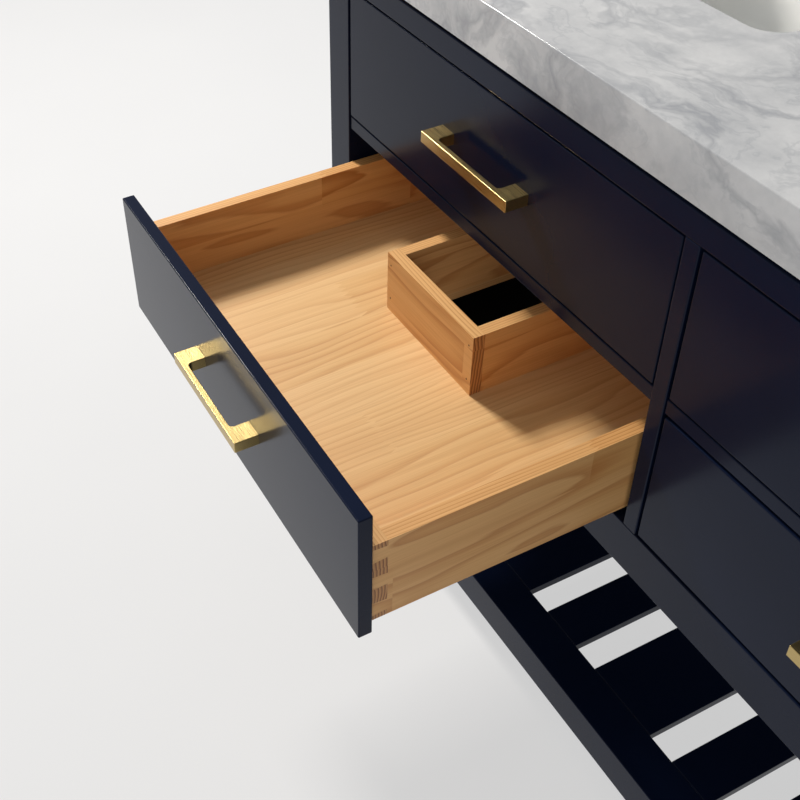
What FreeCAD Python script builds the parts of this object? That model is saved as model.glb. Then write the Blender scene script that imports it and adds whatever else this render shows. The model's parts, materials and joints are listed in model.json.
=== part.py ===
"""Bathroom vanity cabinet: a painted four-drawer cabinet on legs, with a slatted shelf and a marble top.

Frame: X to the right, Y from front to back, Z up, in millimetres. The origin is on the floor, at the
middle of the whole object with its lower left drawer pulled out, which is how the object is stored.
Two columns of two drawers stand between square posts. Every drawer is a dovetailed pine box with a
walled notch at its back, which clears the waste pipe (lower row) or the basin (upper row).
"""

import FreeCAD, Part
import Sketcher

import os
import re

# ---------------------------------------------------------------- driving dimensions, in the spreadsheet
DIMENSIONS = {
    # cabinet
    "opening_w": 545.0,      # clear width of one column
    "divider": 17.0,         # centre divider, which shows as the centre stile
    "post": 46.5,            # square corner post
    "cabinet_depth": 546.0,
    "rail_top_z": 440.0,     # top edge of the bottom rail, above the floor
    "lower_h": 159.0,        # clear height of the lower drawer openings
    "upper_h": 160.0,        # clear height of the upper drawer openings
    "mid_rail": 16.5,
    "top_rail": 26.5,
    "bottom_rail": 55.5,
    "rail_deep": 18.0,       # thickness of rails and panels
    "rail_setback": 2.0,     # middle rails sit behind the divider's face
    "panel_setback": 3.0,    # side panels sit inside the posts' outer faces
    "floor_panel": 12.0,
    "floor_panel_drop": 15.0,
    "back_panel": 6.0,
    "back_inset": 12.0,
    "nailer_h": 90.0,
    "wall_hole_x": 520.0,    # wall screws, left and right of the middle
    "wall_hole_dia": 6.0,
    "access_w": 300.0,       # plumbing openings in the back
    "access_h": 190.0,
    "glide_h": 5.0,
    "glide_dia": 34.0,
    "ease": 1.2,             # rounded arris of painted wood
    # countertop and basins
    "shadow_gap": 5.0,       # dark reveal between the top rail and the marble
    "rebate": 9.0,           # width of that reveal, front to back
    "top_overhang": 2.0,
    "top_side_overhang": 9.5,
    "top_depth": 559.0,
    "slab": 20.0,
    "strip_h": 30.0,         # laminated strip that makes the edge look thick
    "strip_w": 38.0,
    "basin_w": 376.0,        # outer size of the basin's body
    "basin_d": 280.0,
    "basin_h": 150.0,
    "basin_wall": 10.0,
    "basin_flange": 12.0,
    "basin_y": 285.0,        # basin centre behind the cabinet's face
    "basin_corner": 45.0,
    "cutout_in": 8.0,        # marble overlap inside the basin's inner wall
    "drain_dia": 45.0,
    "tap_dia": 35.0,
    "tap_y": 465.0,
    # slatted shelf
    "shelf_top_z": 114.0,
    "shelf_rail_h": 50.0,
    "shelf_rail_w": 50.0,
    "slat_w": 57.0,
    "slat_h": 12.0,
    "slats_each_side": 5.0,
    "shelf_brace_w": 99.0,   # middle board of the shelf
    # drawers
    "gap": 2.5,              # reveal round a drawer front
    "front_inset": 1.0,      # drawer front behind the posts' face
    "front_t": 14.0,
    "box_side_gap": 5.0,
    "box_len": 436.0,
    "box_lift": 16.5,        # box's lower edge above the opening's lower edge
    "box_h": 99.5,
    "side_t": 14.2,
    "box_front_t": 16.0,
    "bottom_t": 10.0,
    "bottom_lift": 12.5,     # bottom panel above the box's lower edge
    "groove": 6.0,
    "pin_end": 7.0,          # half pin at each edge of the corner joint
    "pin": 21.0,             # full pin
    "pin_flare": 1.4,
    "wall_t": 14.0,          # notch walls and back boards
    "lower_notch_w": 168.5,  # outer width of the notch, lower row
    "lower_notch_y": 234.0,  # notch wall behind the drawer front's face, lower row
    "upper_notch_w": 412.0,
    "upper_notch_y": 124.0,
    "rest_open": 290.0,      # how far the lower left drawer stands open
    # bar pull
    "pull_len": 150.0,
    "pull_reach": 25.5,
    "pull_h": 12.6,
    "pull_bar": 6.0,
    "pull_foot": 22.0,
    "pull_inner_r": 5.0,
    "pull_ease": 0.6,
    # undermount runners
    "runner_y": 20.0,
    "runner_len": 450.0,
    "slider_y": 32.0,
    "slider_len": 408.0,
    "carrier_y": 31.0,
    "carrier_len": 415.0,
}

doc = FreeCAD.newDocument("vanity_cabinet")
sheet = doc.addObject("Spreadsheet::Sheet", "Dims")
for row, (alias, value) in enumerate(DIMENSIONS.items(), start=1):
    sheet.set(f"A{row}", alias)
    sheet.set(f"B{row}", str(value))
    sheet.setAlias(f"B{row}", alias)
doc.recompute()

# ---------------------------------------------------------------- places that several pieces share
FACE = "((rest_open + pull_reach - front_inset - top_depth + top_overhang) / 2)"
CAB_W = "(2 * opening_w + divider + 2 * post)"
LEFT = f"(-{CAB_W} / 2)"
LOWER_Z = "rail_top_z"
UPPER_Z = "(rail_top_z + lower_h + mid_rail)"
FRAME_TOP = "(rail_top_z + lower_h + mid_rail + upper_h + top_rail)"
SLAB_SEAT = f"({FRAME_TOP} + shadow_gap)"
SLAB_Z = f"({SLAB_SEAT} + strip_h)"
BOTTOM_Z = "(rail_top_z - bottom_rail)"
BACK = f"({FACE} + cabinet_depth)"
COLUMN_X = [f"({LEFT} + post)", "(divider / 2)"]
FLOOR_PANEL_TOP = "(rail_top_z - floor_panel_drop)"
WALL_HOLE_X = ["(-wall_hole_x)", "wall_hole_x"]


def qualified(formula):
    """The formula with every alias written as the spreadsheet's own cell."""
    return re.sub(r"[a-z][a-z_]*", lambda m: f"Dims.{m.group(0)}", str(formula))


def number(formula):
    """The value of a formula of spreadsheet aliases."""
    return float(sheet.evalExpression(qualified(formula)))


def bind(thing, prop, formula):
    thing.setExpression(prop, qualified(formula))


def place(thing, x, y, z):
    bind(thing, "Placement.Base.x", x)
    bind(thing, "Placement.Base.y", y)
    bind(thing, "Placement.Base.z", z)


SUB_PARTS = []


def sub_part(thing, label):
    """Marks the finished object of one sub-part. Its label names the STEP file."""
    thing.Label = label
    SUB_PARTS.append(thing)
    return thing


# ---------------------------------------------------------------- makers
def block(x, y, z, length, width, height):
    """A plain rectangular board with its low corner at x, y, z."""
    board = doc.addObject("Part::Box", "board")
    bind(board, "Length", length)
    bind(board, "Width", width)
    bind(board, "Height", height)
    place(board, x, y, z)
    return board


def rod(x, y, z, diameter, height):
    """A vertical cylinder standing on x, y, z."""
    thing = doc.addObject("Part::Cylinder", "rod")
    bind(thing, "Radius", f"({diameter}) / 2")
    bind(thing, "Height", height)
    place(thing, x, y, z)
    return thing


def eased(thing, radius="ease", keep=lambda edge: True):
    """Rounds the arrises of a board by a small radius. keep picks the edges."""
    doc.recompute()
    r = number(radius)
    rounded = doc.addObject("Part::Fillet", "eased")
    rounded.Base = thing
    rounded.Edges = [(i, r, r) for i, e in enumerate(thing.Shape.Edges, start=1) if keep(e)]
    return rounded


def cut(thing, tools):
    """thing with every tool taken away."""
    for tool in tools:
        result = doc.addObject("Part::Cut", "cut")
        result.Base = thing
        result.Tool = tool
        thing = result
    return thing


def group(things):
    """Several separate solids as one sub-part."""
    gathered = doc.addObject("Part::Compound", "group")
    gathered.Links = things
    return gathered


def upright(edge):
    """True for an edge that runs straight up."""
    a, b = edge.Vertexes[0].Point, edge.Vertexes[-1].Point
    return abs(a.x - b.x) < 1e-6 and abs(a.y - b.y) < 1e-6 and abs(a.z - b.z) > 1e-6


def origin_plane(body, role):
    return next(f for f in body.Origin.OriginFeatures if f.Role == role)


def add_polygon(sketch, corners):
    """A closed polygon whose corners are pairs of formulas, none negative, tied to the sketch's origin."""
    values = [(number(u), number(v)) for u, v in corners]
    first = sketch.GeometryCount
    count = len(values)
    for i in range(count):
        a, b = values[i], values[(i + 1) % count]
        sketch.addGeometry(
            Part.LineSegment(FreeCAD.Vector(*a, 0), FreeCAD.Vector(*b, 0)), False
        )
    for i in range(count):
        here, after = first + i, first + (i + 1) % count
        sketch.addConstraint(Sketcher.Constraint("Coincident", here, 2, after, 1))
    for i in range(count):
        tie_corner(sketch, first + i, corners[i], values[i])


def tie_corner(sketch, line, formulas, value):
    """Holds a line's first point at its two distances from the origin."""
    for axis, kind, formula, distance in zip((-2, -1), ("DistanceX", "DistanceY"), formulas, value):
        if abs(distance) < 1e-9:
            sketch.addConstraint(Sketcher.Constraint("PointOnObject", line, 1, axis))
            continue
        at = sketch.addConstraint(Sketcher.Constraint(kind, -1, 1, line, 1, distance))
        bind(sketch, f"Constraints[{at}]", formula)


def profile_body(name, role, polygons, length):
    """A PartDesign body: polygons on an origin plane, padded by length."""
    body = doc.addObject("PartDesign::Body", name)
    sketch = body.newObject("Sketcher::SketchObject", name + "_profile")
    sketch.AttachmentSupport = [(origin_plane(body, role), "")]
    sketch.MapMode = "FlatFace"
    for corners in polygons:
        add_polygon(sketch, corners)
    pad = body.newObject("PartDesign::Pad", name + "_pad")
    pad.Profile = sketch
    bind(pad, "Length", length)
    doc.recompute()
    return body


# ---------------------------------------------------------------- cabinet frame
def make_posts():
    for side, x in (("left", LEFT), ("right", f"({CAB_W} / 2 - post)")):
        for end, y in (("front", FACE), ("back", f"({BACK} - post)")):
            post = block(x, y, "glide_h", "post", "post", f"{FRAME_TOP} - glide_h")
            sub_part(eased(post), f"post_{end}_{side}")


def make_rails():
    inner = f"({CAB_W} - 2 * post)"
    x = COLUMN_X[0]
    z = f"({FRAME_TOP} - top_rail)"
    rail = eased(block(x, FACE, z, inner, "rail_deep", "top_rail"))
    tongue = block(x, f"({FACE} + rebate)", z, inner, "(rail_deep - rebate)", "(top_rail + shadow_gap)")
    joined = doc.addObject("Part::Fuse", "rail_and_tongue")
    joined.Base = rail
    joined.Tool = tongue
    sub_part(joined, "rail_top_front")
    bottom = block(x, FACE, BOTTOM_Z, inner, "rail_deep", "bottom_rail")
    sub_part(eased(bottom), "rail_bottom_front")
    middle = [
        eased(block(column, f"({FACE} + rail_setback)", "(rail_top_z + lower_h)",
                    "opening_w", "rail_deep", "mid_rail"))
        for column in COLUMN_X
    ]
    sub_part(group(middle), "rails_middle_front")


def make_panels():
    deep = "(cabinet_depth - 2 * post)"
    y = f"({FACE} + post)"
    tall = f"({SLAB_SEAT} - {BOTTOM_Z})"
    for side, x in (
        ("left", f"({LEFT} + panel_setback)"),
        ("right", f"({CAB_W} / 2 - panel_setback - rail_deep)"),
    ):
        sub_part(block(x, y, BOTTOM_Z, "rail_deep", deep, tall), f"side_panel_{side}")
    floor_x = f"({LEFT} + panel_setback + rail_deep)"
    floor_w = f"({CAB_W} - 2 * panel_setback - 2 * rail_deep)"
    back_y = f"({BACK} - back_inset - back_panel)"
    floor_z = f"({FLOOR_PANEL_TOP} - floor_panel)"
    floor_y = f"({FACE} + post)"
    floor = block(floor_x, floor_y, floor_z, floor_w, f"({back_y} - {floor_y})", "floor_panel")
    # the floor panel reaches the bottom rail between the front posts, and stops at the back posts
    tongue_y = f"({FACE} + rail_deep)"
    tongue = block(COLUMN_X[0], tongue_y, floor_z, f"({CAB_W} - 2 * post)", "(post - rail_deep)",
                   "floor_panel")
    joined = doc.addObject("Part::Fuse", "floor_and_tongue")
    joined.Base = floor
    joined.Tool = tongue
    corner = [
        block(x, f"({BACK} - post)", floor_z, "post", "post", "floor_panel")
        for x in (LEFT, f"({CAB_W} / 2 - post)")
    ]
    sub_part(cut(joined, corner), "floor_panel")
    divider_z = FLOOR_PANEL_TOP
    divider = block("(-divider / 2)", FACE, "rail_top_z", "divider", "rail_deep + rail_setback",
                    f"({FRAME_TOP} - top_rail - rail_top_z)")
    web_y = f"({FACE} + rail_deep)"
    web = block("(-divider / 2)", web_y, divider_z, "divider", f"({back_y} - {web_y})",
                f"({SLAB_SEAT} - {divider_z})")
    whole = doc.addObject("Part::Fuse", "divider_and_stile")
    whole.Base = eased(divider)
    whole.Tool = web
    nailer_y = f"({back_y} - rail_deep)"
    nailer_z = f"({SLAB_SEAT} - nailer_h)"
    inner = f"({CAB_W} - 2 * post)"
    slot = block("(-divider / 2)", nailer_y, nailer_z, "divider", "rail_deep", "nailer_h")
    sub_part(cut(whole, [slot]), "divider_panel")
    back = block(COLUMN_X[0], back_y, BOTTOM_Z, inner, "back_panel", tall)
    access = [
        block(f"({column} + opening_w / 2 - access_w / 2)", back_y, "(rail_top_z + 20)",
              "access_w", "back_panel", "access_h")
        for column in COLUMN_X
    ]
    screw_holes = [wall_hole(x) for x in WALL_HOLE_X]
    sub_part(cut(back, access + screw_holes), "back_panel")
    nailer = block(COLUMN_X[0], nailer_y, nailer_z, inner, "rail_deep", "nailer_h")
    screw_holes = [wall_hole(x) for x in WALL_HOLE_X]
    sub_part(cut(nailer, screw_holes), "wall_nailer")


def wall_hole(x):
    """A screw hole for fixing the cabinet to the wall, through the nailer and the back panel."""
    hole = doc.addObject("Part::Cylinder", "wall_hole")
    bind(hole, "Radius", "wall_hole_dia / 2")
    hole.Height = 60.0
    hole.Placement.Rotation = FreeCAD.Rotation(FreeCAD.Vector(1, 0, 0), -90)
    place(hole, x, f"({BACK} - 50)", f"({SLAB_SEAT} - nailer_h / 2)")
    return hole


def make_cleats():
    """Battens that bring the runners' wall in line with the posts' inner faces."""
    y = f"({FACE} + post)"
    deep = "(cabinet_depth - 2 * post)"
    thick = "(post - panel_setback - rail_deep)"
    battens = [
        block(x, y, row, thick, deep, "40")
        for row in (LOWER_Z, UPPER_Z)
        for x in (f"({LEFT} + panel_setback + rail_deep)", f"({CAB_W} / 2 - post)")
    ]
    sub_part(group(battens), "runner_battens")


def make_glides():
    """A nylon disc with a rounded rim under each post."""
    discs = []
    for x in (f"({LEFT} + post / 2)", f"({CAB_W} / 2 - post / 2)"):
        for y in (f"({FACE} + post / 2)", f"({BACK} - post / 2)"):
            discs.append(rod(x, y, "0", "glide_dia", "glide_h"))
    sub_part(group(discs), "floor_glides")


# ---------------------------------------------------------------- slatted shelf
def make_shelf():
    inner = f"({CAB_W} - 2 * post)"
    z = "(shelf_top_z - shelf_rail_h)"
    size = (inner, "shelf_rail_w", "shelf_rail_h")
    sub_part(eased(block(COLUMN_X[0], FACE, z, *size)), "shelf_rail_front")
    sub_part(eased(block(COLUMN_X[0], f"({BACK} - shelf_rail_w)", z, *size)), "shelf_rail_back")
    deep = "(cabinet_depth - 2 * post)"
    ends = [
        eased(block(x, f"({FACE} + post)", z, "(post - panel_setback)", deep, "shelf_rail_h"))
        for x in (f"({LEFT} + panel_setback)", f"({CAB_W} / 2 - post)")
    ]
    sub_part(group(ends), "shelf_rails_end")
    half = f"(({inner} - shelf_brace_w) / 2)"
    slot = f"(({half} - slats_each_side * slat_w) / (slats_each_side + 1))"
    y = f"({FACE} + shelf_rail_w)"
    deep = "(cabinet_depth - 2 * shelf_rail_w)"
    slat_z = "(shelf_top_z - slat_h)"
    slats = [eased(block("(-shelf_brace_w / 2)", y, slat_z, "shelf_brace_w", deep, "slat_h"))]
    for start in (COLUMN_X[0], "(shelf_brace_w / 2)"):
        for i in range(int(number("slats_each_side"))):
            x = f"({start} + {slot} + {i} * (slat_w + {slot}))"
            slats.append(eased(block(x, y, slat_z, "slat_w", deep, "slat_h")))
    sub_part(group(slats), "shelf_slats")


# ---------------------------------------------------------------- countertop and basins
def basin_centre(column):
    return f"({column} + opening_w / 2)", f"({FACE} + basin_y)"


def make_countertop():
    x = f"({LEFT} - top_side_overhang)"
    y = f"({FACE} - top_overhang)"
    wide = f"({CAB_W} + 2 * top_side_overhang)"
    slab = eased(block(x, y, SLAB_Z, wide, "top_depth", "slab"), keep=on_top)
    tools = []
    for column in COLUMN_X:
        cx, cy = basin_centre(column)
        inner_w = "(basin_w - 2 * basin_wall - 2 * cutout_in)"
        inner_d = "(basin_d - 2 * basin_wall - 2 * cutout_in)"
        hole = block(f"({cx} - {inner_w} / 2)", f"({cy} - {inner_d} / 2)", SLAB_Z, inner_w, inner_d, "slab")
        tools.append(eased(hole, "basin_corner - basin_wall - cutout_in + 5", upright))
        tools.append(rod(cx, f"({FACE} + tap_y)", SLAB_Z, "tap_dia", "slab"))
    sub_part(cut(slab, tools), "countertop_slab")
    side_deep = "(top_depth - 2 * strip_w)"
    strips = [
        block(x, y, SLAB_SEAT, wide, "strip_w", "strip_h"),
        block(x, f"({y} + top_depth - strip_w)", SLAB_SEAT, wide, "strip_w", "strip_h"),
        block(x, f"({y} + strip_w)", SLAB_SEAT, "strip_w", side_deep, "strip_h"),
        block(f"({x} + {wide} - strip_w)", f"({y} + strip_w)", SLAB_SEAT, "strip_w", side_deep, "strip_h"),
    ]
    sub_part(group(strips), "countertop_edge_strips")


def on_top(edge):
    """True for the slab's upper edges."""
    return all(abs(v.Point.z - number(f"{SLAB_Z} + slab")) < 1e-6 for v in edge.Vertexes)


def make_basin(column, label):
    cx, cy = basin_centre(column)
    top = SLAB_Z
    flange_w, flange_d = "(basin_w + 24)", "(basin_d + 24)"
    flange = block(f"({cx} - {flange_w} / 2)", f"({cy} - {flange_d} / 2)", f"({top} - basin_flange)",
                   flange_w, flange_d, "basin_flange")
    flange = eased(flange, "basin_corner + 5", upright)
    shell = block(f"({cx} - basin_w / 2)", f"({cy} - basin_d / 2)", f"({top} - basin_h)",
                  "basin_w", "basin_d", "basin_h")
    shell = eased(shell, "basin_corner", upright)
    shell = eased(shell, "basin_corner * 0.7", low_ring)
    body = doc.addObject("Part::Fuse", "basin_body")
    body.Base = shell
    body.Tool = flange
    inner = block(f"({cx} - basin_w / 2 + basin_wall)", f"({cy} - basin_d / 2 + basin_wall)",
                  f"({top} - basin_h + basin_wall)", "(basin_w - 2 * basin_wall)",
                  "(basin_d - 2 * basin_wall)", "basin_h")
    inner = eased(inner, "basin_corner - basin_wall", upright)
    inner = eased(inner, "basin_corner * 0.7 - basin_wall + 2", low_ring)
    drain = rod(cx, cy, f"({top} - basin_h)", "drain_dia", "basin_wall")
    sub_part(cut(body, [inner, drain]), label)


def low_ring(edge):
    """True for the edges that lie in the lowest plane of a vertical-walled block."""
    floor = number(f"{SLAB_Z} - basin_h")
    levels = [v.Point.z for v in edge.Vertexes]
    flat = max(levels) - min(levels) < 1e-6
    return flat and levels[0] < floor + number("basin_wall") + 1.0


# ---------------------------------------------------------------- drawers
def pin_bands():
    """Heights of the pins above the box's lower edge: half pins at the edges and two full pins between."""
    tail = "((box_h - 2 * pin_end - 2 * pin) / 3)"
    return [
        ("0", "pin_end"),
        (f"(pin_end + {tail})", f"(pin_end + {tail} + pin)"),
        (f"(pin_end + 2 * {tail} + pin)", f"(pin_end + 2 * {tail} + 2 * pin)"),
        ("(box_h - pin_end)", "box_h"),
    ]


def pin_polygons():
    """The pins seen from the side: narrow at the box's front face and flaring towards the back."""
    shapes = []
    for i, (low, high) in enumerate(pin_bands()):
        low_front = low if i == 0 else f"({low} + pin_flare)"
        high_front = high if i == 3 else f"({high} - pin_flare)"
        shapes.append([("0", low_front), ("box_front_t", low), ("box_front_t", high), ("0", high_front)])
    return shapes


def pins(name, x, y, z, length):
    """Every pin of a corner joint as one row of prisms that run along X."""
    body = profile_body(name, "YZ_Plane", pin_polygons(), length)
    place(body, x, y, z)
    return body


def make_box(drawer, x0, y, z0, notch_w, notch_y):
    """The pine box of one drawer. y is the drawer front's face and z0 the opening's lower edge."""
    box_x = f"({x0} + box_side_gap)"
    box_w = "(opening_w - 2 * box_side_gap)"
    box_y = f"({y} + front_t)"
    box_z = f"({z0} + box_lift)"
    panel_z = f"({box_z} + bottom_lift)"
    inner_x = f"({box_x} + side_t)"
    inner_w = f"({box_w} - 2 * side_t)"

    def bottom_panel():
        return block(f"({inner_x} - groove)", f"({box_y} + box_front_t - groove)", panel_z,
                     f"({inner_w} + 2 * groove)", "(box_len - box_front_t + groove)", "bottom_t")

    middle = block(inner_x, box_y, box_z, inner_w, "box_front_t", "box_h")
    front = doc.addObject("Part::Fuse", "box_front")
    front.Base = middle
    front.Tool = pins(f"{drawer}_pins", box_x, box_y, box_z, box_w)
    sub_part(cut(front, [bottom_panel()]), f"drawer_{drawer}_box_front")

    sides = []
    for end, x in (("left", box_x), ("right", f"({inner_x} + {inner_w})")):
        side = block(x, box_y, box_z, "side_t", "box_len", "box_h")
        sockets = pins(f"{drawer}_{end}_sockets", x, box_y, box_z, "side_t")
        sides.append(cut(side, [sockets, bottom_panel()]))
    sub_part(group(sides), f"drawer_{drawer}_box_sides")

    notch_x = f"({x0} + opening_w / 2 - {notch_w} / 2)"
    wall_y = f"({y} + {notch_y})"
    wall_z = f"({panel_z} + bottom_t)"
    wall_h = "(box_h - bottom_lift - bottom_t)"
    back_end = f"({box_y} + box_len)"
    hollow = block(f"({notch_x} + wall_t)", f"({wall_y} + wall_t)", panel_z,
                   f"({notch_w} - 2 * wall_t)", f"({back_end} - {wall_y} - wall_t)", "bottom_t")
    sub_part(cut(bottom_panel(), [hollow]), f"drawer_{drawer}_bottom")

    cheek_y = f"({wall_y} + wall_t)"
    cheek = f"({back_end} - {cheek_y})"
    walls = [
        block(notch_x, wall_y, wall_z, notch_w, "wall_t", wall_h),
        block(notch_x, cheek_y, wall_z, "wall_t", cheek, wall_h),
        block(f"({notch_x} + {notch_w} - wall_t)", cheek_y, wall_z, "wall_t", cheek, wall_h),
    ]
    sub_part(group(walls), f"drawer_{drawer}_notch_walls")

    rear_y = f"({back_end} - wall_t)"
    left_w = f"({notch_x} - {inner_x})"
    backs = [
        block(inner_x, rear_y, wall_z, left_w, "wall_t", wall_h),
        block(f"({notch_x} + {notch_w})", rear_y, wall_z, left_w, "wall_t", wall_h),
    ]
    sub_part(group(backs), f"drawer_{drawer}_box_back")


def make_front(drawer, x0, y, z0, height):
    front = block(f"({x0} + gap)", y, f"({z0} + gap)", "(opening_w - 2 * gap)", "front_t",
                  f"({height} - 2 * gap)")
    sub_part(eased(front), f"drawer_{drawer}_front")


def make_pull(drawer, x0, y, z0, height):
    """A square bar pull: two feet, a thin bar between them, and a rounded inside corner at each foot."""
    name = f"drawer_{drawer}_pull"
    outline = [
        ("0", "0"),
        ("pull_len", "0"),
        ("pull_len", "pull_reach"),
        ("(pull_len - pull_foot)", "pull_reach"),
        ("(pull_len - pull_foot)", "pull_bar"),
        ("pull_foot", "pull_bar"),
        ("pull_foot", "pull_reach"),
        ("0", "pull_reach"),
    ]
    body = profile_body(name + "_bar", "XY_Plane", [outline], "pull_h")
    place(body, f"({x0} + opening_w / 2 - pull_len / 2)", f"({y} - pull_reach)",
          f"({z0} + {height} / 2 - pull_h / 2)")
    doc.recompute()
    origin = body.Placement.Base
    bar_back = origin.y + number("pull_bar")

    def inside_corner(edge):
        return upright(edge) and abs(edge.Vertexes[0].Point.y - bar_back) < 1e-6

    rounded = eased(body, "pull_inner_r", inside_corner)
    sub_part(eased(rounded, "pull_ease", lambda edge: not touches_front(edge, origin)), name)


def touches_front(edge, origin):
    """True for an edge of a pull's feet that lies against the drawer front."""
    seat = origin.y + number("pull_reach")
    return all(abs(v.Point.y - seat) < 1e-6 for v in edge.Vertexes)


# Runner profiles, across the opening from its wall and up from its lower edge.
RUNNER_RAIL = [
    (0, 2), (1.6, 2), (24, 2), (36, 2), (36, 9),
    (24, 9), (24, 3.6), (1.6, 3.6), (1.6, 30), (0, 30),
]
RUNNER_SLIDER = [(24.5, 9.4), (35.5, 9.4), (35.5, 26.5), (24.5, 26.5)]
RUNNER_CARRIER = [
    (20, 16.5), (21.6, 16.5), (21.6, 27.4), (38.4, 27.4),
    (38.4, 16.5), (40, 16.5), (40, 29), (20, 29),
]


def runner_pair(name, profile, x0, y, z0, length):
    """A left and a right member of the same profile, the right one mirrored."""
    pair = []
    corners = [(str(u), str(v)) for u, v in profile]
    mirrored = [(f"(opening_w - {u})", v) for u, v in reversed(corners)]
    for side, points in (("left", corners), ("right", mirrored)):
        body = profile_body(f"{name}_{side}", "XZ_Plane", [points], length)
        # an XZ sketch pads towards -Y, so the body is placed by its back end
        place(body, x0, f"({y} + {length})", z0)
        pair.append(body)
    return pair


def make_drawer(drawer, column, z0, height, notch_w, notch_y, opened):
    y = f"({FACE} + front_inset - {opened})"
    make_front(drawer, column, y, z0, height)
    make_pull(drawer, column, y, z0, height)
    make_box(drawer, column, y, z0, notch_w, notch_y)
    slider = runner_pair(f"{drawer}_slider", RUNNER_SLIDER, column,
                         f"({FACE} + slider_y - {opened} / 2)", z0, "slider_len")
    sub_part(group(slider), f"runner_{drawer}_middle")
    carrier = runner_pair(f"{drawer}_carrier", RUNNER_CARRIER, column,
                          f"({FACE} + carrier_y - {opened})", z0, "carrier_len")
    sub_part(group(carrier), f"runner_{drawer}_carrier")


def make_drawers():
    rails = []
    for side, column in zip(("left", "right"), COLUMN_X):
        for row, z0, height in (("lower", LOWER_Z, "lower_h"), ("upper", UPPER_Z, "upper_h")):
            drawer = f"{row}_{side}"
            opened = "rest_open" if drawer == "lower_left" else "0"
            make_drawer(drawer, column, z0, height, f"{row}_notch_w", f"{row}_notch_y", opened)
            rails += runner_pair(f"{drawer}_rail", RUNNER_RAIL, column,
                                 f"({FACE} + runner_y)", z0, "runner_len")
    sub_part(group(rails), "runner_rails_fixed")


def check_and_export():
    """Stops on any failed object, then writes one STEP file for each sub-part."""
    doc.recompute()
    for thing in doc.Objects:
        if "Invalid" in thing.State or "Error" in thing.State:
            raise RuntimeError(f"{thing.Name} ({thing.Label}) failed: {thing.State}")
    os.makedirs("parts", exist_ok=True)
    for old in os.listdir("parts"):
        os.remove(os.path.join("parts", old))
    for thing in SUB_PARTS:
        shape = thing.Shape
        if shape.isNull() or not shape.isValid() or not shape.Solids:
            raise RuntimeError(f"{thing.Label} has no valid solid")
        shape.exportStep(os.path.join("parts", thing.Label + ".step"))
    print(len(SUB_PARTS), "sub-parts,", sum(len(t.Shape.Solids) for t in SUB_PARTS), "solids")


make_posts()
make_rails()
make_panels()
make_cleats()
make_glides()
make_shelf()
make_countertop()
make_basin(COLUMN_X[0], "basin_left")
make_basin(COLUMN_X[1], "basin_right")
make_drawers()
check_and_export()
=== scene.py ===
# %% [markdown]
# # A bathroom vanity cabinet
# The cabinet's boards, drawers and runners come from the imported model, already in place. This lesson
# gives every board its finish, replaces the parts that need a smoother or finer surface, and sets the
# light and the camera. All lengths are in metres.

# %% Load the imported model
import json
import math
import bpy
import numpy as np
from mathutils import Matrix, Vector


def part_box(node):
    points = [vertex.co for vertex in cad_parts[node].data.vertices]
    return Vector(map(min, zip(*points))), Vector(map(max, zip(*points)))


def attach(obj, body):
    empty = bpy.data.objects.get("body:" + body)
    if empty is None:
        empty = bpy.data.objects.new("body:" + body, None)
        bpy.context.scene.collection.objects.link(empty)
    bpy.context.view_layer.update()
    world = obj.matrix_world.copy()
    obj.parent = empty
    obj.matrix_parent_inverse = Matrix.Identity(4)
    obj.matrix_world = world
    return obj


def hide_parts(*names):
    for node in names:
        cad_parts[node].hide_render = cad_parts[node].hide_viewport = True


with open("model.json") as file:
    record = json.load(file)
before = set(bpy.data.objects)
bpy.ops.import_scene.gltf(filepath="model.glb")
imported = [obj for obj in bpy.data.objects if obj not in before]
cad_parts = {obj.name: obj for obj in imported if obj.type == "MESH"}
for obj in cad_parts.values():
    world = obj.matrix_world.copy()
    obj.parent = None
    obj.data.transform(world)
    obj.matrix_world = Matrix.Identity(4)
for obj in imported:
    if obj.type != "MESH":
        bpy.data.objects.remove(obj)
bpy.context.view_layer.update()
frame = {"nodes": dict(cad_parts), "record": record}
nodes = frame["nodes"]

# %% [markdown]
# A surface is a grid of points worked out all at once: one parameter runs along the rows and one along
# the columns. `grid_mesh` joins neighbouring points with four-sided faces, and can close either way round.

# %% Turn a grid of points into a mesh
def grid_faces(rows, columns, close_rows, close_columns):
    """Face (i, j) joins points (i, j), (i, j+1), (i+1, j+1), (i+1, j), with wrap-round where closed."""
    i = np.arange(rows if close_rows else rows - 1)
    j = np.arange(columns if close_columns else columns - 1)
    i, j = (a.ravel() for a in np.meshgrid(i, j, indexing="ij"))
    after_i, after_j = (i + 1) % rows, (j + 1) % columns
    corners = (i * columns + j, i * columns + after_j, after_i * columns + after_j, after_i * columns + j)
    return np.stack(corners, axis=1)


def grid_mesh(name, points, close_rows=False, close_columns=False):
    """points has shape (rows, columns, 3)."""
    rows, columns = points.shape[:2]
    mesh = bpy.data.meshes.new(name)
    faces = grid_faces(rows, columns, close_rows, close_columns)
    mesh.from_pydata(points.reshape(-1, 3).tolist(), [], faces.tolist())
    mesh.shade_smooth()
    piece = bpy.data.objects.new(name, mesh)
    bpy.context.scene.collection.objects.link(piece)
    return piece


# %% [markdown]
# Finishes are built from nodes. A small helper adds a node, sets its sockets and links what it is given,
# so that each finish below reads as a list of steps. Numbers that don't vary go straight on the shader.

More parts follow.
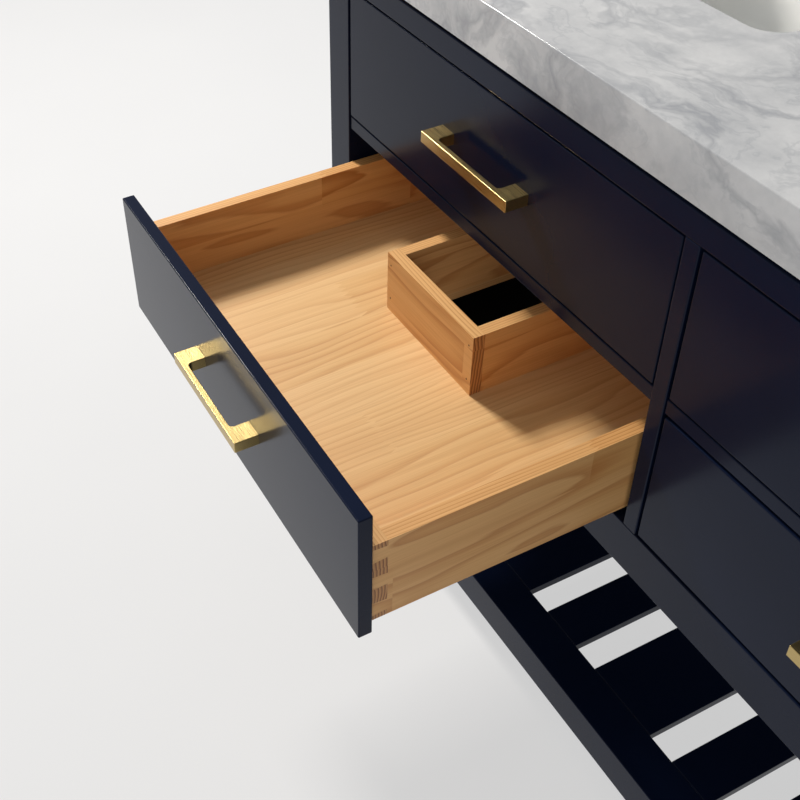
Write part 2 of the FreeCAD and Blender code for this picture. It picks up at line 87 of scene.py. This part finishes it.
# %% Helpers for finishes
class Finish:
    """A material with its Principled shader, and short ways to add nodes to it."""

    def __init__(self, name, **shader):
        self.material = bpy.data.materials.new(name)
        self.material.use_nodes = True
        self.tree = self.material.node_tree
        self.shader = self.tree.nodes["Principled BSDF"]
        for socket, value in shader.items():
            self.shader.inputs[socket.replace("_", " ")].default_value = value
        coordinates = self.tree.nodes.new("ShaderNodeTexCoord")
        self.place = coordinates.outputs["Object"]

    def add(self, kind, inputs=None, output=0, **settings):
        node = self.tree.nodes.new(kind)
        for key, value in settings.items():
            setattr(node, key, value)
        for key, value in (inputs or {}).items():
            if isinstance(value, bpy.types.NodeSocket):
                self.tree.links.new(value, node.inputs[key])
            else:
                node.inputs[key].default_value = value
        return node.outputs[output]

    def math(self, operation, a, b=0.0, c=0.0):
        return self.add("ShaderNodeMath", {0: a, 1: b, 2: c}, operation=operation)

    def scaled(self, scale, offset=(0, 0, 0), place=None):
        return self.add("ShaderNodeMapping",
                        {"Vector": place or self.place, "Scale": scale, "Location": offset})

    def stretched(self, axis, across, along, detail=2.0):
        """Noise drawn out along one axis: across and along are its scales."""
        scale = [across] * 3
        scale[axis] = along
        return self.noise(self.scaled(tuple(scale)), 1.0, detail)

    def noise(self, vector, scale, detail=3.0, roughness=0.5):
        return self.add("ShaderNodeTexNoise",
                        {"Vector": vector, "Scale": scale, "Detail": detail, "Roughness": roughness})

    def mix(self, factor, a, b, blend="MIX"):
        node = self.tree.nodes.new("ShaderNodeMix")
        node.data_type = "RGBA"
        node.blend_type = blend
        for index, value in ((0, factor), (6, a), (7, b)):
            if isinstance(value, bpy.types.NodeSocket):
                self.tree.links.new(value, node.inputs[index])
            else:
                node.inputs[index].default_value = value
        return node.outputs[2]

    def spread(self, value, low, high, out_low=0.0, out_high=1.0):
        return self.add("ShaderNodeMapRange", {"Value": value, "From Min": low, "From Max": high,
                                               "To Min": out_low, "To Max": out_high})

    def ramp(self, value, stops):
        node = self.tree.nodes.new("ShaderNodeValToRGB")
        self.tree.links.new(value, node.inputs[0])
        elements = node.color_ramp.elements
        while len(elements) < len(stops):
            elements.new(0.5)
        for element, (position, tone) in zip(elements, stops):
            element.position = position
            element.color = tone
        return node.outputs[0]

    def set(self, socket, value):
        self.tree.links.new(value, self.shader.inputs[socket])

    def bump(self, height, distance, strength=1.0):
        self.set("Normal", self.add("ShaderNodeBump", {"Height": height, "Distance": distance,
                                                       "Strength": strength}))


def colour(r, g, b):
    """A colour given as 0 to 255 screen values, turned into the linear values that a shader takes."""
    screen = np.array([r, g, b]) / 255.0
    linear = np.where(screen <= 0.04045, screen / 12.92, ((screen + 0.055) / 1.055) ** 2.4)
    return (*linear.tolist(), 1.0)


# %% [markdown]
# The cabinet is sprayed with dark blue lacquer. Sprayed lacquer is smooth but never quite flat: a very
# low, broad ripple bends the reflections, and fine dust in the coat changes the gloss from place to place.

# %% Dark blue lacquer
def make_lacquer(name, base, roughness):
    finish = Finish(name, IOR=1.22, Specular_IOR_Level=0.5)
    cloud = finish.noise(finish.place, 7.0, 4.0)
    darker = tuple(0.80 * v for v in base[:3]) + (1.0,)
    finish.set("Base Color", finish.mix(finish.spread(cloud, 0.3, 0.7), darker, base))
    speck = finish.noise(finish.place, 900.0, 2.0)
    finish.set("Roughness", finish.spread(speck, 0.3, 0.7, roughness - 0.02, roughness + 0.03))
    ripple = finish.noise(finish.place, 120.0, 2.0)
    finish.bump(ripple, 0.00006, 0.25)
    return finish.material


lacquer = make_lacquer("lacquer_dark_blue", colour(13, 23, 46), 0.2)
# The inside boards get a near-black lacquer, darker and greyer than the blue outside: painted shade for the
# unlit inside of the cabinet.
inside_painted_shade = make_lacquer("lacquer_inside_painted_shade", colour(7, 8, 12), 0.6)

# %% [markdown]
# The drawers are pine, glued up from short lengths with finger joints. Wood is solid, so its pattern is a
# function of place in space: growth rings are cylinders round a pith that lies along the grain. A face cut
# along the grain shows long lines and arches, and the ends of the same board show arcs, with no extra
# work. Each glued length gets its own pith and its own tint.

# %% Glued lengths of pine
FINGER_PITCH = 0.0042
PITH_REACH = 3.017     # keeps every strip number positive


def pine_pieces(finish, along, across, width, length, seed, zigzag):
    """Numbers every glued length; gives three rolls of a dice for it and its own cross coordinate."""
    strip = finish.math("FLOOR", finish.math("DIVIDE", finish.math("ADD", across, PITH_REACH), width))
    # finger joint: a triangle wave across the board moves the cut to and fro along the grain
    wave = finish.math("PINGPONG", zigzag, FINGER_PITCH)
    shifted = finish.math("MULTIPLY_ADD", wave, 2.4, along)
    offset = finish.math("MULTIPLY", strip, 0.377 * length)
    piece = finish.math("FLOOR", finish.math("DIVIDE", finish.math("ADD", shifted, offset), length))
    key = finish.add("ShaderNodeCombineXYZ", {0: strip, 1: piece, 2: float(seed)})
    dice = finish.add("ShaderNodeTexWhiteNoise", {"Vector": key}, output=1)
    rolls = finish.add("ShaderNodeSeparateColor", {0: dice}).node.outputs
    inside = finish.math("SUBTRACT", across, finish.math("MULTIPLY", strip, width))
    centred = finish.math("ADD", inside, PITH_REACH - 0.5 * width)
    return rolls, centred


def turned(finish, vector, behind):
    """Swaps x and y where behind is 1, for boards that run front to back."""
    x, y, z = finish.add("ShaderNodeSeparateXYZ", {0: vector}).node.outputs
    swapped = finish.add("ShaderNodeCombineXYZ", {0: y, 1: x, 2: z})
    choose = finish.tree.nodes.new("ShaderNodeMix")
    choose.data_type = "VECTOR"
    finish.tree.links.new(behind, choose.inputs[0])
    finish.tree.links.new(vector, choose.inputs[4])
    finish.tree.links.new(swapped, choose.inputs[5])
    return choose.outputs[1]


# %% [markdown]
# A ring is where the distance from the pith passes a multiple of the ring width. The distance is bent a
# little by slow noise that follows the grain, as a real trunk is never a perfect cylinder. Pale wood grows
# in spring and a thin dark line in late summer, so the colour climbs slowly and drops back at once.

# %% Pine with growth rings
RING_WIDTH = 0.0034
SPRING, SPRING_LATE = colour(230, 193, 140), colour(224, 184, 129)
SUMMER, SUMMER_LATE = colour(196, 142, 84), colour(178, 120, 64)


def ring_phase(finish, grain, u, v, rolls, pith_side):
    """The fraction of a ring passed: root of (u squared + v squared), bent, over the ring width."""
    slow = finish.stretched(grain, 9.0, 1.6)
    quick = finish.stretched(grain, 60.0, 5.0)
    u = finish.math("ADD", u, finish.math("MULTIPLY_ADD", rolls[0], 0.12, pith_side - 0.06))
    v = finish.math("ADD", finish.math("FRACT", v), finish.math("MULTIPLY_ADD", rolls[1], 0.06, 0.02))
    square = finish.math("ADD", finish.math("MULTIPLY", u, u), finish.math("MULTIPLY", v, v))
    bend = finish.math("MULTIPLY_ADD", slow, 0.036, -0.018)
    radius = finish.math("ADD", finish.math("SQRT", square), bend)
    radius = finish.math("ADD", radius, finish.math("MULTIPLY_ADD", quick, 0.0022, -0.0011))
    return finish.math("FRACT", finish.math("DIVIDE", radius, RING_WIDTH))


def long_grain_colour(finish, grain, ring, fibre, roll, warmth):
    """Ring colours, calmed towards an even tone, then streaked by bands and fibres and tinted."""
    band = finish.stretched(grain, 90.0, 1.0, 3.0)
    body = finish.ramp(ring, [(0.0, SPRING), (0.55, SPRING_LATE), (0.80, SUMMER),
                              (0.93, SUMMER_LATE), (1.0, SPRING)])
    calm = finish.math("MULTIPLY_ADD", roll, 0.25, 0.55 - 0.40 * warmth)
    body = finish.mix(calm, body, colour(228, 190, 137))
    body = finish.mix(finish.spread(band, 0.45, 0.75, 0.0, 0.30), body, colour(190, 134, 76))
    body = finish.mix(finish.spread(fibre, 0.40, 0.75, 0.0, 0.25), body, colour(176, 122, 68))
    tint = finish.ramp(roll, [(0.0, (0.92, 0.86, 0.76, 1)), (0.5, (1, 0.97, 0.92, 1)),
                              (1.0, (1, 1, 1, 1))])
    body = finish.mix(0.7, body, tint, "MULTIPLY")
    return finish.mix(warmth, body, (1.0, 0.84, 0.66, 1.0), "MULTIPLY")


def make_pine(name, grain, stave, width, length, seed, warmth, zigzag_across=False, pith_side=0.0,
              turn_y=None):
    """grain is the axis of the fibres, stave the axis that the strips are laid side by side along.
    A pith far off to the side gives straight lines. Where turn_y is given, everything behind that y is
    a board that runs front to back."""
    finish = Finish(name, Coat_Weight=0.05, Coat_Roughness=0.3, Specular_IOR_Level=0.35)
    facing = finish.add("ShaderNodeNewGeometry", output=1)
    if turn_y is not None:
        depth = finish.add("ShaderNodeSeparateXYZ", {0: finish.place}).node.outputs[1]
        behind = finish.math("GREATER_THAN", depth, turn_y)
        facing = turned(finish, facing, behind)
        finish.place = turned(finish, finish.place, behind)
    parts = finish.add("ShaderNodeSeparateXYZ", {0: finish.place}).node.outputs
    deep = parts[({0, 1, 2} - {grain, stave}).pop()]
    zigzag = parts[stave] if zigzag_across else deep
    rolls, u = pine_pieces(finish, parts[grain], parts[stave], width, length, seed, zigzag)
    ring = ring_phase(finish, grain, u, deep, rolls, pith_side)
    fibre = finish.stretched(grain, 1100.0, 9.0)
    body = long_grain_colour(finish, grain, ring, fibre, rolls[2], warmth)
    # end grain drinks the varnish and looks darker
    end = finish.math("ABSOLUTE", finish.add("ShaderNodeSeparateXYZ", {0: facing}).node.outputs[grain])
    end = finish.spread(end, 0.75, 0.95)
    cut_rings = finish.ramp(ring, [(0.0, colour(206, 152, 98)), (0.5, colour(180, 122, 72)),
                                   (0.85, colour(96, 54, 28)), (1.0, colour(196, 142, 90))])
    body = finish.mix(finish.math("MULTIPLY", end, 0.9), body, cut_rings)
    finish.set("Base Color", body)
    finish.set("Roughness", finish.spread(fibre, 0.3, 0.7, 0.40, 0.56))
    finish.bump(finish.math("MULTIPLY_ADD", ring, -0.4, fibre), 0.00010, 0.45)
    return finish.material


X, Y, Z = 0, 1, 2
WALL_THICKNESS = 0.014
pine_front = make_pine("pine_across", X, Z, width=0.060, length=0.43, seed=1, warmth=0.55)
pine_side = make_pine("pine_lengthwise", Y, Z, width=0.062, length=0.33, seed=2, warmth=0.85)
pine_notch = {}
for node_name in [n for n in nodes if n.endswith("notch_walls")]:
    wall_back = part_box(node_name)[0].y + WALL_THICKNESS
    pine_notch[node_name] = make_pine("pine_" + node_name, X, Z, width=0.045, length=0.52, seed=3,
                                      warmth=0.65, turn_y=wall_back)
pine_floor = make_pine("pine_panel", Y, X, width=0.068, length=0.61, seed=4, warmth=0.0,
                       zigzag_across=True, pith_side=0.16)
print("pine finishes", 3 + len(pine_notch))

# %% [markdown]
# The pulls are brass, brushed along the bar and lacquered. Brushing leaves hair-thin scratches in one
# direction, so the noise is squeezed across the bar and stretched along it.

# %% Brushed brass
def make_metal(name, base, roughness, along, scratch):
    finish = Finish(name, Metallic=1.0)
    hair = finish.stretched(along, 2600.0, 30.0, 3.0)
    dull = tuple(0.80 * v for v in base[:3]) + (1.0,)
    finish.set("Base Color", finish.mix(finish.spread(hair, 0.3, 0.7), dull, base))
    finish.set("Roughness", finish.spread(hair, 0.3, 0.7, roughness - 0.06, roughness + 0.08))
    finish.bump(hair, scratch, 0.6)
    return finish.material


brass = make_metal("brass_brushed", colour(196, 172, 116), 0.30, X, 0.00008)
steel = make_metal("steel_zinc_plated", colour(196, 199, 203), 0.34, Y, 0.00003)
print("metals", brass.name, steel.name)

# %% [markdown]
# White marble is cloudy calcite with thin grey veins where other minerals seeped along cracks. A crack is
# where a warped field crosses zero, so the vein is the narrow band round that crossing, and slower noise
# decides where it is strong and where it fades out.

# %% Veined marble
def make_marble():
    finish = Finish("marble_white", Coat_Weight=0.2, Coat_Roughness=0.08, Roughness=0.16)
    warp = finish.add("ShaderNodeTexNoise", {"Vector": finish.place, "Scale": 5.0, "Detail": 5.0},
                      output=1)
    moved = finish.add("ShaderNodeVectorMath", {0: warp, 1: (0.32, 0.32, 0.32)}, operation="MULTIPLY")
    field = finish.add("ShaderNodeVectorMath", {0: finish.place, 1: moved}, operation="ADD")
    slanted = finish.scaled((1.0, 1.6, 1.3), (0.4, 0.1, 0.2), field)
    broad = finish.noise(slanted, 3.2, 6.0, 0.55)
    fine = finish.noise(slanted, 11.0, 6.0, 0.6)
    from_crack = finish.math("ABSOLUTE", finish.math("SUBTRACT", broad, 0.5))
    vein = finish.spread(from_crack, 0.0, 0.035, 1.0, 0.0)
    from_hair = finish.math("ABSOLUTE", finish.math("SUBTRACT", fine, 0.5))
    hair = finish.spread(from_hair, 0.0, 0.03, 0.7, 0.0)
    fade = finish.spread(finish.noise(finish.place, 4.0, 2.0), 0.40, 0.62)
    cloud = finish.noise(finish.place, 14.0, 6.0, 0.65)
    # The base tones are grey, well below the white of the real stone: painted shade, standing in for the
    # shaded front edge of the top, laid over the real cloudy tone of the calcite.
    stone = finish.ramp(cloud, [(0.3, colour(176, 178, 181)), (0.65, colour(205, 206, 207))])
    stone = finish.mix(finish.math("MULTIPLY", vein, finish.math("MULTIPLY_ADD", fade, 0.40, 0.08)),
                       stone, colour(122, 126, 134))
    stone = finish.mix(finish.math("MULTIPLY", hair, finish.math("MULTIPLY", fade, 0.45)), stone,
                       colour(150, 154, 160))
    finish.set("Base Color", stone)
    return finish.material


marble = make_marble()
print("stone", marble.name)

# %% [markdown]
# Glazed ceramic is white clay under a glassy coat. The coat pools very slightly, so its height and its
# colour drift over several centimetres. The glides are moulded nylon with a fine grain.

# %% Ceramic and nylon
def make_plain(name, base, other, roughness, scale, depth, **shader):
    finish = Finish(name, **shader)
    drift = finish.noise(finish.place, scale, 3.0)
    finish.set("Base Color", finish.mix(finish.spread(drift, 0.35, 0.65), base, other))
    finish.set("Roughness", finish.spread(drift, 0.3, 0.7, roughness, roughness + 0.05))
    finish.bump(drift, depth, 0.5)
    return finish.material


ceramic = make_plain("ceramic_glazed", colour(244, 244, 241), colour(238, 239, 238), 0.06, 9.0, 0.0003,
                     Coat_Weight=0.5, Coat_Roughness=0.03)
nylon = make_plain("nylon_black", colour(22, 22, 23), colour(30, 30, 31), 0.5, 700.0, 0.00005)
print("plain finishes", ceramic.name, nylon.name)

# %% [markdown]
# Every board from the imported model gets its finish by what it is. The drawer boxes need the grain the way
# the board was cut: lengthwise in the sides, crosswise in the front, and front to back in the bottom.

# %% Finish the boards
def finish_of(name, slot):
    if slot == "pine":
        if "sides" in name:
            return pine_side
        if name.endswith("bottom"):
            return pine_floor
        return pine_notch.get(name, pine_front)
    return {"navy_lacquer": lacquer, "dark_interior": inside_painted_shade, "marble": marble, "ceramic": ceramic,
            "brass": brass, "steel": steel, "black_plastic": nylon}[slot]


for entry in frame["record"]["subparts"]:
    board = nodes[entry["node"]]
    board.data.materials.clear()
    board.data.materials.append(finish_of(entry["node"], entry["material_slot"]))

# %% [markdown]
# An undermount basin is one skin of clay that turns over at the rim into a flange. Its cross-section is a
# closed loop, and every ring round the bowl is a rectangle with round corners that shrinks to a circle at
# the waste hole, so the whole basin is one closed surface with no seams.

# %% Basins
def softened(corners, radii, steps=7):
    """Cuts each corner of a closed loop back by its radius and joins the cuts with a quadratic curve."""
    before, after = np.roll(corners, 1, axis=0), np.roll(corners, -1, axis=0)
    t = np.linspace(0.0, 1.0, steps)[:, None]
    rings = []
    for p, a, b, r in zip(corners, before, after, radii):
        start = p + (a - p) * min(0.48, r / np.linalg.norm(a - p))
        end = p + (b - p) * min(0.48, r / np.linalg.norm(b - p))
        rings.append((1 - t) ** 2 * start + 2 * t * (1 - t) * p + t ** 2 * end)
    return np.concatenate(rings)


def rounded_rings(sizes, centre, per_corner=14):
    """Each row of sizes is half width a, half depth b, corner radius r and height z. A point is the
    corner's centre (a - r, b - r), signed by its quarter, plus r times (cos, sin) of the angle."""
    quarter = np.arange(4).repeat(per_corner)
    angle = (quarter * 90.0 + np.tile(np.linspace(0.0, 90.0, per_corner), 4)) * np.pi / 180.0
    sign_x = np.array([1, -1, -1, 1])[quarter]
    sign_y = np.array([1, 1, -1, -1])[quarter]
    a, b, r, z = (sizes[:, k, None] for k in range(4))
    x = centre[0] + sign_x * (a - r) + r * np.cos(angle)
    y = centre[1] + sign_y * (b - r) + r * np.sin(angle)
    return np.stack([x, y, z + 0.0 * x], axis=-1)


WASTE_RADIUS = 0.0225
FLANGE = 0.012         # how far the flange stands out past the bowl, and its thickness
RIM_IN = 0.022         # from the flange's edge in to the bowl's mouth


def make_basin(side):
    low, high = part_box(f"basin_{side}")
    wide, deep, floor, top = (high.x - low.x) / 2, (high.y - low.y) / 2, low.z, high.z
    hole = WASTE_RADIUS
    neck_x, neck_y = wide - FLANGE, deep - FLANGE
    corners = np.array([
        (hole, hole, hole, floor),
        (neck_x, neck_y, 0.045, floor),
        (neck_x, neck_y, 0.045, top - FLANGE),
        (wide, deep, 0.050, top - FLANGE),
        (wide, deep, 0.050, top),
        (wide - RIM_IN, deep - RIM_IN, 0.035, top),
        (wide - 0.024, deep - 0.024, 0.035, floor + 0.014),
        (hole, hole, hole, floor + 0.009),
    ])
    radii = (0.002, 0.034, 0.004, 0.003, 0.002, 0.005, 0.030, 0.006)
    rings = rounded_rings(softened(corners, radii), ((low.x + high.x) / 2, (low.y + high.y) / 2))
    piece = grid_mesh(f"basin_{side}_bowl", rings[::-1], close_rows=True, close_columns=True)
    piece.data.materials.append(ceramic)
    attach(piece, "cabinet")
    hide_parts(f"basin_{side}")
    print(piece.name, "points", len(piece.data.vertices))


for side in ("left", "right"):
    make_basin(side)

# %% [markdown]
# The glides are turned discs: a profile swept round a vertical axis. The four are one mesh, made in one go
# by adding the four centres to the same sweep.

# %% Floor glides
def swept_profiles(name, centres, profile, turn, around=32, material=None):
    """profile holds radius and height; a point is centre + radius * (cos, sin, 0) + height * (0, 0, 1),
    then turned. Each centre gets its own closed copy."""
    angle = np.linspace(0.0, 2 * np.pi, around, endpoint=False)
    radius, height = profile[:, 0, None], profile[:, 1, None]
    shape = np.stack([radius * np.cos(angle), radius * np.sin(angle), height + 0.0 * angle], axis=-1)
    shape = shape @ np.array(turn).T
    copies = shape[None] + np.asarray(centres)[:, None, None, :]
    rows = len(profile)
    faces = grid_faces(rows, around, False, True)
    count = len(copies)
    every = (faces[None] + (np.arange(count) * rows * around)[:, None, None]).reshape(-1, 4)
    mesh = bpy.data.meshes.new(name)
    mesh.from_pydata(copies.reshape(-1, 3).tolist(), [], every.tolist())
    mesh.shade_smooth()
    piece = bpy.data.objects.new(name, mesh)
    bpy.context.scene.collection.objects.link(piece)
    piece.data.materials.append(material)
    return piece


UPRIGHT = ((1, 0, 0), (0, 1, 0), (0, 0, 1))
POLE = 0.00005          # the innermost ring, too small to see
GLIDE_RADIUS = 0.017
low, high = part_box("floor_glides")
radius, thick = GLIDE_RADIUS, high.z - low.z
rim = np.array([(POLE, thick), (radius, thick), (radius, 0.0022), (radius - 0.0006, 0.0009),
                (radius - 0.0022, 0.0), (POLE, 0.0)])[::-1]
centres = [(x, y, 0.0) for x in (low.x + radius, high.x - radius)
           for y in (low.y + radius, high.y - radius)]
glides = swept_profiles("glide_discs", centres, rim, UPRIGHT, material=nylon)
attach(glides, "cabinet")
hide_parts("floor_glides")
print(glides.name, "points", len(glides.data.vertices))

# %% [markdown]
# Small fixings make a box believable. Four pan-head screws hold each painted front to its pine box from
# inside, and thin pins hold the corners of the notch. Each head is a low dome swept round its own axis.

# %% Screws and pins
TO_BACK = ((1, 0, 0), (0, 0, 1), (0, -1, 0))    # the head's height points to +Y
TO_FRONT = ((1, 0, 0), (0, 0, -1), (0, 1, 0))   # the head's height points to -Y
HEAD_RADIUS, HEAD_HEIGHT = 0.0042, 0.0019
PIN_RADIUS = 0.0011
SCREW_SIDES, SCREW_HEIGHTS = (-0.19, 0.19), (-0.016, 0.022)
turn_angle = np.linspace(0.0, np.pi / 2, 7)
dome = np.stack([HEAD_RADIUS * np.cos(turn_angle) + POLE, HEAD_HEIGHT * np.sin(turn_angle)], axis=1)
socket = np.array([(0.0015, 0.0018), (0.0012, 0.0008), (POLE, 0.0006)])
pan_head = np.concatenate([[(HEAD_RADIUS, -0.0002)], dome[:-2], socket])
pin_head = np.array([(PIN_RADIUS, -0.0001), (PIN_RADIUS, 0.00010), (0.0009, 0.00016),
                     (POLE, 0.00018)])
pin_brown = make_plain("pin_brown", colour(96, 66, 38), colour(80, 54, 32), 0.5, 300.0, 0.00003)


def fix_drawer(drawer):
    low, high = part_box(f"drawer_{drawer}_box_front")
    middle = (low.x + high.x) / 2
    places = [(middle + dx, high.y, high.z - 0.050 + dz)
              for dx in SCREW_SIDES for dz in SCREW_HEIGHTS]
    screws = swept_profiles(f"front_screws_{drawer}", places, pan_head, TO_BACK, 24, steel)
    low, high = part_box(f"drawer_{drawer}_notch_walls")
    spots = [(x, low.y, z) for x in (low.x + 0.007, high.x - 0.007)
             for z in (low.z + 0.018, high.z - 0.014)]
    pins = swept_profiles(f"notch_pins_{drawer}", spots, pin_head, TO_FRONT, 12, pin_brown)
    for piece in (screws, pins):
        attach(piece, f"drawer_{drawer}")
    print(drawer, "screws", len(places), "pins", len(spots))


for drawer in ("lower_left", "upper_left", "lower_right", "upper_right"):
    fix_drawer(drawer)

# %% [markdown]
# Plain floor and soft studio light. The key is a soft panel high on the left; weak fills come from the
# front and the rear. The floor glows a little, like the lit paper sweep of a studio, so that it stays
# evenly pale far from the lamps and mirrors softly in the lacquer.

# %% Floor and light
FLOOR_REACH, FLOOR_DROP = 9.0, 0.0005
WORLD_STRENGTH = 0.36


def studio_floor():
    finish = Finish("floor_pale", Roughness=1.0, Specular_IOR_Level=0.0, Emission_Strength=0.58)
    tone = finish.noise(finish.place, 3.0, 3.0)
    finish.set("Base Color", finish.mix(tone, colour(128, 128, 128), colour(134, 134, 134)))
    finish.shader.inputs["Emission Color"].default_value = (1.0, 1.0, 1.0, 1.0)
    span = np.linspace(-FLOOR_REACH, FLOOR_REACH, 3)
    x, y = np.meshgrid(span, span, indexing="ij")
    floor = grid_mesh("floor", np.stack([x, y, np.zeros_like(x) - FLOOR_DROP], axis=-1))
    floor.data.materials.append(finish.material)


def panel_light(name, place, target, size, power, tint=(1, 1, 1)):
    data = bpy.data.lights.new(name, "AREA")
    data.shape = "RECTANGLE"
    data.size, data.size_y = size
    data.energy = power
    data.color = tint
    lamp = bpy.data.objects.new(name, data)
    lamp.location = place
    lamp.rotation_euler = (Vector(target) - Vector(place)).to_track_quat("-Z", "Y").to_euler()
    bpy.context.scene.collection.objects.link(lamp)
    print("light", name, power)


studio_floor()
panel_light("key", (-2.3, -0.55, 2.5), (-0.3, -0.2, 0.5), (0.5, 0.5), 90.0, (1.0, 0.96, 0.91))
panel_light("fill", (1.2, -3.0, 2.4), (-0.2, -0.2, 0.5), (2.0, 2.0), 7.0, (0.95, 0.97, 1.0))
panel_light("rear", (1.6, 2.6, 2.4), (0.0, 0.2, 0.5), (1.6, 1.6), 22.0, (0.97, 0.98, 1.0))
world = bpy.data.worlds.new("studio")
world.use_nodes = True
world.node_tree.nodes["Background"].inputs[0].default_value = (1.0, 1.0, 1.0, 1.0)
world.node_tree.nodes["Background"].inputs[1].default_value = WORLD_STRENGTH
bpy.context.scene.world = world
bpy.context.scene.view_settings.view_transform = "Standard"

# %% [markdown]
# The camera stands at the right front corner, above the top, and looks down and to the left into the open
# drawer. Its three axes are set directly, so the small roll of a hand-set tripod is kept.

# %% Camera
def look(yaw, pitch, roll):
    """Turns (about Z), then dips, then rolls; the columns are the camera's right, up and back axes."""
    ahead = Vector((math.sin(yaw) * math.cos(pitch), math.cos(yaw) * math.cos(pitch), -math.sin(pitch)))
    level = Vector((math.cos(yaw), -math.sin(yaw), 0.0))
    upward = level.cross(ahead)
    right = level * math.cos(roll) + upward * math.sin(roll)
    up = upward * math.cos(roll) - level * math.sin(roll)
    return Matrix((right, up, -ahead)).transposed()


FOCAL_LENGTH = 53.07                       # millimetres, on a sensor 36 mm wide
SHIFT_X, SHIFT_Y = 0.1258, -0.0649
STAND_X, STAND_AHEAD, STAND_Z = 0.5362, 0.5922, 1.3128
YAW, PITCH, ROLL = -1.130, 0.705, -0.044   # radians
lens = bpy.data.cameras.new("camera")
lens.sensor_width = 36.0
lens.lens = FOCAL_LENGTH
lens.shift_x, lens.shift_y = SHIFT_X, SHIFT_Y
camera = bpy.data.objects.new("camera", lens)
face_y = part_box("post_front_left")[0].y
camera.matrix_world = (Matrix.Translation((STAND_X, face_y - STAND_AHEAD, STAND_Z))
                       @ look(YAW, PITCH, ROLL).to_4x4())
bpy.context.scene.collection.objects.link(camera)
bpy.context.scene.camera = camera
print("camera", [round(v, 4) for v in camera.matrix_world.translation])
